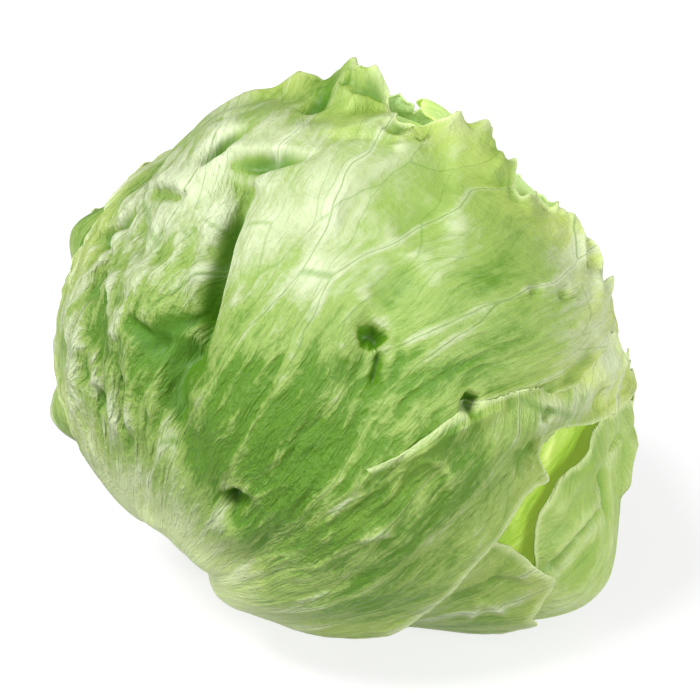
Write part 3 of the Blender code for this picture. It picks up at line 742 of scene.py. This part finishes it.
def leaf_outline(leaf, across, share):
    """theta and phi of points given by their place across a leaf and their share of the way up it."""
    tip = through(leaf.tip, across)
    tip = tip + leaf.wave_depth / DEGREE * margin_wave(leaf, CUT_PHASE + across)
    width = half_width_of(leaf, np.minimum(tip, 90.0))
    tip = tip + teeth(leaf, across * width, leaf.seed) / DEGREE
    theta = BASE_THETA + share * (tip - BASE_THETA)
    left, right = through(leaf.left, theta), through(leaf.right, theta)
    edge = teeth(leaf, theta * DEGREE + 0.2 * np.sign(across), leaf.seed + 5)
    edge = edge * ease(*TEETH_BEGIN, theta) / DEGREE
    half = (right - left) / 2 + edge * np.abs(across) ** 12
    return from_leaf_angles(leaf, theta, (left + right) / 2 + across * half)


def softened(values, passes):
    """A grid of values with its small ups and downs smoothed away. Each pass mixes every value with those
    beside it."""
    for _ in range(passes):
        for axis in (0, 1):
            padded = np.pad(values, [(1, 1) if axis == side else (0, 0) for side in (0, 1)], mode="edge")
            before, after = np.split(padded, [2], axis)[1], np.split(padded, [-2], axis)[0]
            values = (before + 2 * values + after) / 4
    return values


def hollowness(leaf, across, share, radius):
    """How far each place is sunk under its surroundings, narrow and broad, from about -1 to 1."""
    order = np.lexsort((across, share))
    grid = radius[order].reshape(-1, leaf.columns + 1)
    sunk = 0
    for width, deep, weight in (NARROW_HOLLOW, BROAD_HOLLOW):
        sunk = sunk + weight * (softened(grid, int(2 * (width / HOLLOW_CELL) ** 2)) - grid) / deep
    result = np.empty_like(radius)
    result[order] = np.clip(sunk, -HOLLOW_LIMIT, HOLLOW_LIMIT).ravel()
    return result


def sinking(leaf, theta, across):
    """1 where the right leaf's left part sinks into the front leaf, 0 elsewhere."""
    if leaf.name != "right_leaf":
        return 0 * theta
    inward = 1 - ease(*JOIN_REACH, (across + 1) * half_width_of(leaf, theta))
    return inward * (1 - JOIN_RELIEF * ease(*JOIN_RISE, theta) * (1 - ease(*JOIN_FALL, theta)))


def margin_lift(index, across, share, theta, phi):
    """How far a leaf's margin stands off, in its own angles, and how far each place is from the margin."""
    leaf = LEAVES[index]
    to_tip = (1 - share) * (through(leaf.tip, across) - BASE_THETA) * DEGREE
    to_side = (1 - np.abs(across)) * half_width_of(leaf, theta)
    at_tip = 1 - ease(0, MARGIN_BAND, to_tip)
    at_side = (1 - ease(0, MARGIN_BAND, to_side)) * ease(BASE_THETA, SIDE_FLARE_THETA, theta)
    tip_wave = leaf.wave_depth * (1 + margin_wave(leaf, across)) / 2
    side_wave = leaf.wave_depth * (1 + margin_wave(leaf, SIDE_WAVES * share)) / 4
    flare = through(leaf.flare, across)
    lift = (flare + tip_wave) * at_tip + (leaf.side_flare + side_wave) * at_side
    to_margin = np.minimum(to_tip, np.where(theta > MARGINS_BEGIN, to_side, 1))
    frill = 1 - ease(0, FRILL_REACH, to_margin)
    curl = 1 - ease(0, CURL_REACH, to_margin)
    wave = grain(theta, phi, FRILL_CELL, FRILL_SEED + index)
    crisp = grain(theta, phi, CURL_CELL, CURL_SEED + index)
    liveliness = 0.45 + flare / (6 * MM)
    liveliness = liveliness * (0.3 + 0.7 * ease(-CORNER_BAND, CORNER_BAND, to_side - to_tip))
    frills = leaf.ruffle * liveliness * ((0.3 + 1.1 * wave) * frill**1.5 + (0.25 + 0.8 * crisp) * curl)
    return lift + frills, to_margin


def leaf_surface(index, across, share):
    """A leaf's outer surface, the measures that its colour follows, and its chart along the veins."""
    leaf, above = LEAVES[index], LEAVES[index + 1 :]
    theta, phi = leaf_outline(leaf, across, share)
    own_theta, own_phi = to_leaf_angles(leaf, theta, phi)
    veined_phi = fanned(leaf, own_theta, own_phi)
    lift, to_margin = margin_lift(index, across, share, own_theta, own_phi)
    bare = np.clip(1 - total_coverage(above, theta, phi, 2 * DRAPE_OUT), 0, 1)
    open_above = 1 - total_coverage(above, theta, phi, BULGE_REACH).clip(0, 1)
    layers = 1 + total_coverage(LEAVES[:index], theta, phi)
    ground = outer_ground if leaf.over_crown is None else inner_ground
    joined = sinking(leaf, own_theta, across)

    height, push = crimp_shape(leaf.crimps, theta, phi)
    if leaf.name != "front_leaf":
        height = height + shared_hollows(theta, phi)
    strength = np.clip(PLAIN_RIBBING + swell(RIBBED, theta, phi), *RIB_LIMITS)
    base_fade = ease(*RIBS_BEGIN, own_theta)
    rib_seed = RIB_SEEDS.get(leaf.name, PLAIN_RIB_SEED + RIB_SEED_STEP * index)
    ribs = ribbing(own_theta, veined_phi, rib_seed) * strength * base_fade
    soft = grain(theta, phi, SOFT_CELL, SOFT_SEED) * SOFT_HEIGHT
    radius = ground(theta, phi) + LEAF_PITCH * (layers - JOIN_DEPTH * joined) + lift * bare * (1 - joined)
    radius = radius + swell(FULLNESS, theta, phi) + swell(leaf.bulges, theta, phi) * open_above
    radius = radius + height + ribs * MM + soft
    radius = under_floor_limit(radius, theta, phi, total_coverage(above, theta, phi))
    places = direction(theta, phi) * radius[..., None] + CENTRE + push * bare[..., None]
    places[..., 2] = np.maximum(places[..., 2], 0)
    measures = {
        "hollow": hollowness(leaf, across, share, radius) * (1 - 0.5 * ease(*SMOOTH_TOP, theta)),
        "ribbed": np.clip(strength * base_fade / 1.6, 0, 1),
        "spread": spread_of(leaf, own_theta),
        "depth": np.clip(-height / DEEP, 0, 1),
        "rim": 1 - ease(0, RIM_REACH, to_margin),
        "edge": 1 - ease(0, EDGE_REACH, to_margin),
        "butt": 1 - ease(BASE_THETA, BUTT_END, own_theta),
        "green": PLAIN_GREEN + swell(GREEN, theta, phi),
        "crownward": ease(*CROWNWARD, theta),
    }
    return places, measures, np.stack([veined_phi, own_theta], axis=-1) * DEGREE / CHART_UNIT


# ---------------------------------------------------------------- materials

MEASURES = ("hollow", "ribbed", "spread", "depth", "rim", "edge", "butt", "green", "crownward")


class Shader:
    """A material's nodes, with short calls for those that the finishes use."""

    def __init__(self, name):
        self.material = bpy.data.materials.new(name)
        self.material.use_nodes = True
        self.tree = self.material.node_tree

    def feed(self, socket, value):
        if isinstance(value, bpy.types.NodeSocket):
            self.tree.links.new(value, socket)
        elif socket.type == "RGBA":
            socket.default_value = (*value, 1)
        else:
            socket.default_value = value

    def node(self, kind, settings=None, **inputs):
        made = self.tree.nodes.new(kind)
        for key, value in (settings or {}).items():
            setattr(made, key, value)
        for key, value in inputs.items():
            self.feed(made.inputs[key.replace("_", " ")], value)
        return made

    def surface(self, **inputs):
        """Sets the sockets of the shader itself."""
        for key, value in inputs.items():
            self.feed(self.tree.nodes["Principled BSDF"].inputs[key.replace("_", " ")], value)

    def measure(self, name):
        return self.node("ShaderNodeAttribute", {"attribute_name": name}).outputs["Fac"]

    def place(self):
        return self.node("ShaderNodeTexCoord").outputs["Object"]

    def noise(self, vector, scale=1.0, detail=3, rough=0.55, output="Fac"):
        made = self.node("ShaderNodeTexNoise", Vector=vector, Scale=scale, Detail=detail, Roughness=rough)
        return made.outputs[output]

    def stretch(self, vector, across, along, shift=0.0):
        made = self.node("ShaderNodeMapping", Vector=vector)
        made.inputs["Scale"].default_value = (across, along, 1)
        made.inputs["Location"].default_value = (shift, shift * 0.37, shift)
        return made.outputs["Vector"]

    def math(self, kind, *values, clamp=False):
        made = self.node("ShaderNodeMath", {"operation": kind, "use_clamp": clamp})
        for socket, value in zip(made.inputs, values):
            self.feed(socket, value)
        return made.outputs["Value"]

    def times(self, a, b, plus=0.0, clamp=False):
        return self.math("MULTIPLY_ADD", a, b, plus, clamp=clamp)

    def span(self, value, low, high, to_low=0.0, to_high=1.0):
        made = self.node("ShaderNodeMapRange", {"interpolation_type": "SMOOTHSTEP"})
        for socket, given in zip(made.inputs, (value, low, high, to_low, to_high)):
            self.feed(socket, given)
        return made.outputs["Result"]

    def mix(self, share, a, b):
        made = self.node("ShaderNodeMix", {"data_type": "RGBA"}, Factor=share)
        first, second = (socket for socket in made.inputs if socket.type == "RGBA")
        self.feed(first, a)
        self.feed(second, b)
        return next(socket for socket in made.outputs if socket.type == "RGBA")

    def veins(self, vector, across, along, width, shift=0.0):
        """1 on a net of veins that run up the leaf, 0 between them."""
        cells = self.node(
            "ShaderNodeTexVoronoi",
            {"feature": "DISTANCE_TO_EDGE", "voronoi_dimensions": "2D"},
            Vector=self.stretch(vector, across, along, shift),
            Scale=1.0,
            Randomness=0.9,
        ).outputs["Distance"]
        return self.span(cells, 0.0, self.times(self.measure("spread"), width), 1.0, 0.0)

    def bump(self, height, strength, distance, **before):
        made = self.node("ShaderNodeBump", Height=height, Strength=strength, Distance=distance, **before)
        return made.outputs["Normal"]


@dataclass(frozen=True)
class Finish:
    """A leaf's colours: its tissue from pale to green; the dark green of its deep hollows, partly painted
    shade, which its veins also take on green tissue; its tissue near the margin, yellower and brightened by
    painted light as if through the thin leaf; its tissue near the stem; its veins; the painted sheen on its
    palest parts; and the very edge. Also how much the hollows darken it, and the painted light that some leaves
    give off."""

    pale: tuple
    middle: tuple
    green: tuple
    deep: tuple
    margin: tuple
    butt: tuple
    lines: tuple
    painted_sheen: tuple
    edge: tuple
    contrast: float
    greenness: float
    roughness: float
    painted_glow: float = 0.0


FINISHES = {
    "wrapper": Finish(
        pale=(0.375, 0.445, 0.235), middle=(0.225, 0.335, 0.068), green=(0.075, 0.19, 0.002),
        deep=(0.05, 0.155, 0.002), margin=(0.50, 0.60, 0.13), butt=(0.52, 0.63, 0.25),
        lines=(0.13, 0.25, 0.03), painted_sheen=(0.54, 0.61, 0.40), edge=(0.56, 0.66, 0.32),
        contrast=0.34, greenness=0.0, roughness=0.5,
    ),
    "flap": Finish(
        pale=(0.37, 0.49, 0.14), middle=(0.26, 0.40, 0.06), green=(0.18, 0.34, 0.04),
        deep=(0.09, 0.24, 0.008), margin=(0.46, 0.58, 0.20), butt=(0.50, 0.62, 0.28),
        lines=(0.30, 0.44, 0.12), painted_sheen=(0.52, 0.62, 0.32), edge=(0.66, 0.76, 0.36),
        contrast=0.35, greenness=0.06, roughness=0.5,
    ),
    "crown": Finish(
        pale=(0.44, 0.56, 0.33), middle=(0.36, 0.50, 0.25), green=(0.28, 0.44, 0.18),
        deep=(0.12, 0.30, 0.03), margin=(0.40, 0.56, 0.14), butt=(0.60, 0.70, 0.42),
        lines=(0.32, 0.49, 0.20), painted_sheen=(0.54, 0.62, 0.42), edge=(0.58, 0.70, 0.32),
        contrast=0.3, greenness=0.0, roughness=0.45,
    ),
    "inner": Finish(
        pale=(0.36, 0.49, 0.10), middle=(0.24, 0.38, 0.04), green=(0.14, 0.28, 0.015),
        deep=(0.12, 0.26, 0.01), margin=(0.36, 0.50, 0.08), butt=(0.60, 0.68, 0.32),
        lines=(0.50, 0.60, 0.18), painted_sheen=(0.60, 0.66, 0.24), edge=(0.62, 0.72, 0.30),
        contrast=0.4, greenness=0.0, roughness=0.4,
        painted_glow=0.5,
    ),
}
FINISHES["shaded"] = replace(FINISHES["wrapper"], greenness=0.5, margin=(0.24, 0.38, 0.03))
CROWNWARD_TINT = (0.46, 0.62, 0.34)
FINISH_SHIFT = 2.3
MAIN_VEINS = (5.2, 0.8)


def leaf_material(name, finish, shift):
    """Waxy, mottled leaf tissue with a net of veins, paler at the stem and yellower at the margin, where
    painted light also brightens it as if through the thin leaf. Its hollows, creases and pockets are greener,
    partly with painted shade, and its raised, palest parts carry a painted sheen. The inner leaves give off a
    faint painted light, standing for daylight that comes to them through the thin wrapper leaves."""
    s = Shader(name)
    hollow, ribbed, _, depth, rim, edge, butt, green, crownward = map(s.measure, MEASURES)
    chart = s.node("ShaderNodeUVMap", {"uv_map": "chart"}).outputs["UV"]
    wander = s.node("ShaderNodeVectorMath", {"operation": "MULTIPLY_ADD"})
    wanderings = (s.noise(chart, 5.0, 1.5, 0.5, "Color"), (0.07, 0.04, 0), chart)
    for socket, value in zip(wander.inputs, wanderings):
        s.feed(socket, value)
    bent = wander.outputs[0]

    def streaks(across, along, detail=3, rough=0.55, turn=0.0):
        return s.noise(s.stretch(bent, across, along, shift + turn), 1.0, detail, rough)

    main = s.veins(bent, *MAIN_VEINS, 0.018, shift)
    halo = s.veins(bent, *MAIN_VEINS, 0.1, shift)
    net = s.veins(bent, 14.0, 2.2, 0.03, shift + 3.1)
    tiny = s.veins(bent, 34.0, 19.0, 0.07, shift + 1.7)
    ribs = streaks(40, 7)
    swells = s.span(streaks(17, 5.5, rough=0.5, turn=9), 0.32, 0.68, -1.0, 1.0)
    relief = s.times(s.span(ribs, 0.3, 0.7, -1.0, 1.0), 0.5, s.times(swells, 0.7))
    for share, noise in ((0.4, streaks(105, 9, rough=0.6)), (0.45, streaks(75, 45, rough=0.6))):
        relief = s.times(s.span(noise, 0.3, 0.7, -1.0, 1.0), share, relief)
    strength = s.times(s.times(ribbed, 0.85, 0.15), s.span(depth, 0.1, 0.7, 1.0, 0.25))
    relief = s.times(relief, strength)

    mottle = s.math("SUBTRACT", streaks(9, 3.4, 4, 0.6), 0.5)
    blotch = s.math("SUBTRACT", s.noise(s.stretch(chart, 3.0, 2.0, shift), 1.0, 2, 0.5), 0.5)
    # Tone: greener and darker in hollows and paler on the raised relief. This is partly the tissue's own
    # colour, and partly painted shade in the hollows and painted highlight on the crests. The halo of the main
    # veins, the mottle and the blotches are the tissue's own pattern.
    tone = s.math("ADD", s.times(hollow, finish.contrast, finish.greenness), green)
    for part, share in ((relief, -0.4), (halo, -0.36), (mottle, 1.5), (blotch, 0.5)):
        tone = s.times(part, share, tone)
    # A painted sheen: whitish colour on the palest, most raised parts, where the waxy leaf would catch the
    # light.
    sheen_share = s.span(tone, -0.45, 0.15, 0.75, 0.0)
    tone = s.math("ADD", tone, 0.0, clamp=True)
    colour = s.mix(s.span(tone, 0.0, 0.5), finish.pale, finish.middle)
    colour = s.mix(s.span(tone, 0.5, 1.0), colour, finish.green)
    if name.startswith("inner"):
        colour = s.mix(s.times(crownward, 0.6), colour, CROWNWARD_TINT)
    # Near the margin the tissue is yellower, and painted light also brightens it there, as if shining through
    # the thin leaf. This is less so where the tissue is green.
    rim_tint_and_light = s.times(rim, s.span(s.noise(s.stretch(chart, 6, 6, shift + 5)), 0.3, 0.6))
    rim_tint_and_light = s.times(rim_tint_and_light, s.span(green, 0.0, 0.8, 1.0, 0.15))
    # Painted shade in creases and pockets, in the deep colour, together with the greener tissue that lies
    # there.
    crease_shade = s.times(mottle, 0.6, s.span(depth, 0.08, 0.95), clamp=True)
    lines = s.math("MAXIMUM", s.times(main, 0.6), s.times(net, 0.4))
    drawn = s.mix(s.span(butt, 0.3, 0.6), s.mix(tone, finish.lines, finish.deep), finish.pale)
    pale_butt = s.times(s.span(butt, 0.25, 0.9), s.span(ribs, 0.25, 0.6, 0.55, 1.0))
    for share, tint in (
        (s.times(rim_tint_and_light, 0.75), finish.margin),
        (s.times(crease_shade, s.span(depth, 0.05, 0.2, 0.0, 0.82)), finish.deep),
        (sheen_share, finish.painted_sheen),
        (s.math("MAXIMUM", lines, s.times(tiny, 0.1)), drawn),
        (s.times(pale_butt, 0.8), finish.butt),
        (s.times(edge, 0.65), finish.edge),
    ):
        colour = s.mix(share, colour, tint)

    raised = s.times(tiny, 0.15, s.times(net, 0.35, s.times(main, 0.7)))
    normal = s.bump(raised, 0.4, 0.4 * MM)
    normal = s.bump(relief, 1.0, 0.6 * MM, Normal=normal)
    normal = s.bump(s.noise(s.place(), 900.0, 2, 0.6), 0.3, 0.12 * MM, Normal=normal)
    s.surface(
        Base_Color=colour,
        Roughness=s.times(streaks(20, 8), 0.22, finish.roughness - 0.11),
        Normal=normal,
        Subsurface_Weight=0.1,
        Subsurface_Radius=(0.8, 1.0, 0.3),
        Subsurface_Scale=0.8 * MM,
        Specular_IOR_Level=0.4,
        # Painted light: the inner leaves' emission stands for daylight through the wrapper leaves and lifts
        # their shade; the other finishes give off none.
        Emission_Color=(0.36, 0.52, 0.06),
        Emission_Strength=finish.painted_glow,
    )
    return s.material


def stem_material():
    """Moist cream tissue, browned on the cut face."""
    s = Shader("cut stem")
    fibres, stain = s.noise(s.place(), 160.0, 4, 0.6), s.noise(s.place(), 60.0, 3, 0.6)
    brown = s.times(s.measure("cut"), s.span(stain, 0.35, 0.7))
    colour = s.mix(fibres, (0.80, 0.80, 0.58), (0.62, 0.70, 0.36))
    colour = s.mix(s.times(brown, 0.7), colour, (0.50, 0.26, 0.10))
    colour = s.mix(s.times(s.measure("ring"), 0.5), colour, (0.55, 0.36, 0.16))
    s.surface(
        Base_Color=colour,
        Roughness=s.span(stain, 0.2, 0.8, 0.38, 0.6),
        Normal=s.bump(fibres, 0.6, 0.5 * MM),
        Subsurface_Weight=0.2,
        Subsurface_Radius=(1.0, 0.9, 0.5),
        Subsurface_Scale=2.5 * MM,
    )
    return s.material


def floor_material():
    """Pale and nearly even, and lit from within, so that the shadow on it stays light."""
    s = Shader("pale floor")
    s.surface(
        Base_Color=s.mix(s.noise(s.place(), 12.0, 2), (0.32, 0.32, 0.32), (0.30, 0.30, 0.30)),
        Roughness=0.9,
        Specular_IOR_Level=0.1,
        Emission_Color=(1, 1, 1),
        Emission_Strength=0.72,
    )
    return s.material


# ---------------------------------------------------------------- pieces


def put_in_scene(name, data):
    made = bpy.data.objects.new(name, data)
    bpy.context.scene.collection.objects.link(made)
    return made


def mesh_of(name, shape, material):
    mesh = bpy.data.meshes.new(name)
    shape.to_mesh(mesh)
    shape.free()
    mesh.materials.append(material)
    return mesh


def show(node, shape, material):
    """A piece made from a bmesh, standing for its node."""
    mesh = mesh_of(node + "_fine", shape, material)
    mesh.shade_smooth()
    made = put_in_scene(node + "_fine", mesh)
    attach(made, "root")
    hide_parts(node)
    return made


def keep_measures(mesh, measures):
    for name, values in measures.items():
        kept = mesh.attributes.new(name, "FLOAT", "POINT")
        kept.data.foreach_set("value", np.asarray(values, np.float32))


def keep_chart(mesh, chart):
    corners = np.zeros(len(mesh.loops), np.int32)
    mesh.loops.foreach_get("vertex_index", corners)
    layer = mesh.uv_layers.new(name="chart")
    layer.data.foreach_set("uv", chart[corners].astype(np.float32).ravel())


def make_leaf(index, material):
    leaf = LEAVES[index]
    shape = bmesh.new()
    bmesh.ops.create_grid(shape, x_segments=leaf.columns, y_segments=leaf.rows, size=1)
    grid = np.array([vert.co for vert in shape.verts])
    share = 1 - (1 - (grid[:, 1] + 1) / 2) ** ROW_CROWDING
    places, measures, chart = leaf_surface(index, grid[:, 0], share)
    for vert, place in zip(shape.verts, places):
        vert.co = place
    shape.normal_update()
    shape.faces.ensure_lookup_table()
    facing = shape.faces[len(shape.faces) // 2]
    if facing.normal.dot(facing.calc_center_median() - Vector(CENTRE)) < 0:
        bmesh.ops.reverse_faces(shape, faces=shape.faces)
    made = show(leaf.name, shape, material)
    keep_measures(made.data, measures)
    keep_chart(made.data, chart)
    thick = made.modifiers.new("Thickness", "SOLIDIFY")
    thick.thickness = LEAF_THICKNESS
    thick.offset = -1


def heart_radius(theta, phi):
    radius = inner_ground(theta, phi) - HEART_CLEARANCE + HEART_HOLLOWS * shared_hollows(theta, phi)
    seat = STEM_SEAT_DEPTH / np.cos(np.radians(np.minimum(theta, STEM_SEAT_THETA)))
    return np.where(theta < STEM_SEAT_THETA, np.minimum(radius, seat), radius)


def make_heart(material):
    shape = bmesh.new()
    bmesh.ops.create_uvsphere(shape, u_segments=96, v_segments=96, radius=1)
    ball = np.array([vert.co for vert in shape.verts])
    theta = np.degrees(np.arccos(np.clip(-ball[:, 2], -1, 1)))
    phi = np.degrees(np.arctan2(ball[:, 1], ball[:, 0]))
    grooves = np.minimum(ribbing(theta, phi, HEART_RIB_SEED), 0) * ease(20, 40, theta)
    radius = heart_radius(theta, phi) + 0.5 * MM * grooves
    radius = under_floor_limit(radius, theta, phi, total_coverage(LEAVES, theta, phi) + HEART_FLOOR_LAYERS)
    places = direction(theta, phi) * radius[..., None] + CENTRE
    for vert, place in zip(shape.verts, places):
        vert.co = place
    made = show("heart", shape, material)
    measures = {name: 0 * theta for name in MEASURES}
    measures["ribbed"] += 0.5
    measures["green"] += 0.4
    measures["spread"] += 1
    measures["butt"] = 1 - ease(12, 60, theta)
    measures["crownward"] = ease(*CROWNWARD, theta)
    keep_measures(made.data, measures)
    keep_chart(made.data, np.stack([phi * DEGREE, theta * DEGREE], axis=-1) / CHART_UNIT)


def make_stem(material):
    """The cut stem, with a slightly rounded, uneven foot and faint grooves down its side."""
    half = STEM_LENGTH / 2
    shape = bmesh.new()
    bmesh.ops.create_cone(
        shape, cap_ends=True, segments=72, radius1=STEM_RADIUS, radius2=STEM_RADIUS, depth=STEM_LENGTH
    )
    caps = [face for face in shape.faces if len(face.verts) > 4]
    for _ in range(6):
        bmesh.ops.inset_individual(shape, faces=caps, thickness=STEM_RADIUS / 7)
    sides = [edge for edge in shape.edges if abs(edge.verts[0].co.z - edge.verts[1].co.z) > half]
    bmesh.ops.subdivide_edges(shape, edges=sides, cuts=8, use_grid_fill=True)
    cut, ring = [], []
    for vert in shape.verts:
        x, y, z = vert.co
        out = math.hypot(x, y) / STEM_RADIUS
        turn = math.atan2(y, x)
        on_cut = z > half - CUT_FACE_SLACK
        grooves = 0.02 * math.sin(5 * turn + 1) + 0.012 * math.sin(13 * turn)
        swelling = 1 - 0.06 * max(0.0, z / half) ** 2 + grooves
        vert.co.x, vert.co.y = x * swelling, y * swelling
        if on_cut:
            uneven = 1 + math.sin(3 * x / MM * 0.4) * math.cos(2.1 * y / MM * 0.4)
            vert.co.z = z - 0.7 * MM * out**4 - 0.25 * MM * uneven
        cut.append(float(on_cut))
        ring.append(math.exp(-(((out - 0.62) / 0.08) ** 2)) * cut[-1])
    along = Vector(-CROWN)
    place = Vector(CENTRE) + along * (STEM_SEAT_DEPTH + STEM_CLEARANCE + half)
    shape.transform(Matrix.Translation(place) @ along.to_track_quat("Z", "Y").to_matrix().to_4x4())
    made = show("stem", shape, material)
    keep_measures(made.data, {"cut": cut, "ring": ring})


# ---------------------------------------------------------------- camera, floor and light

VIEW_RISE = 25.0
VIEW_DISTANCE = 0.65
FRAME_WIDTH = 0.224
FRAME_SHIFT = 1.6 * MM
SENSOR = 36.0
FLOOR_HALF = 4.0
FLOOR_GAP = 0.2 * MM
LIGHTS_AIM = (0, 0, 0.09)
LIGHTS = (
    ("key", (-0.95, -0.8, 2.0), 0.8, 54),
    ("fill", (1.4, -1.6, 0.6), 1.2, 41),
    ("bounce", (-1.5, -0.9, 0.12), 1.0, 23),
)
WORLD_STRENGTH = 0.38


def make_camera():
    rise = math.radians(VIEW_RISE)
    back = Vector((0, -math.cos(rise), math.sin(rise)))
    data = bpy.data.cameras.new("camera")
    data.sensor_width = SENSOR
    data.lens = SENSOR * VIEW_DISTANCE / FRAME_WIDTH
    made = put_in_scene("camera", data)
    made.location = Vector((FRAME_SHIFT, 0, CENTRE_HEIGHT)) + back * VIEW_DISTANCE
    made.rotation_euler = back.to_track_quat("Z", "Y").to_euler()
    bpy.context.scene.camera = made


def make_floor():
    shape = bmesh.new()
    bmesh.ops.create_grid(shape, x_segments=1, y_segments=1, size=FLOOR_HALF)
    floor = put_in_scene("floor", mesh_of("floor", shape, floor_material()))
    floor.location.z = -FLOOR_GAP
    floor.visible_diffuse = False


def make_light(name, place, size, power):
    data = bpy.data.lights.new(name, "AREA")
    data.shape = "DISK"
    data.size = size
    data.energy = power
    made = put_in_scene(name, data)
    made.location = place
    made.rotation_euler = (Vector(place) - Vector(LIGHTS_AIM)).to_track_quat("Z", "Y").to_euler()


def make_world():
    world = bpy.data.worlds.new("studio")
    world.use_nodes = True
    world.node_tree.nodes["Background"].inputs["Color"].default_value = (1, 1, 1, 1)
    world.node_tree.nodes["Background"].inputs["Strength"].default_value = WORLD_STRENGTH
    bpy.context.scene.world = world
    bpy.context.scene.view_settings.view_transform = "Standard"


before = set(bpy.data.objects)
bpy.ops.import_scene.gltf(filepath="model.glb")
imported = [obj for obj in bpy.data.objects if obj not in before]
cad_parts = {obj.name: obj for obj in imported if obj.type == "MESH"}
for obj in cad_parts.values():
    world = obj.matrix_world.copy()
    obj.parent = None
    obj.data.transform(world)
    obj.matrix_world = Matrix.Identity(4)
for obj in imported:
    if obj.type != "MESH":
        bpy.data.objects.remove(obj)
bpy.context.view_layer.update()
make_camera()
make_world()
make_floor()
for light in LIGHTS:
    make_light(*light)
materials = {
    name: leaf_material(name + " leaf", finish, FINISH_SHIFT * number)
    for number, (name, finish) in enumerate(FINISHES.items())
}
make_heart(materials["inner"])
make_stem(stem_material())
for index, leaf in enumerate(LEAVES):
    make_leaf(index, materials[leaf.finish])
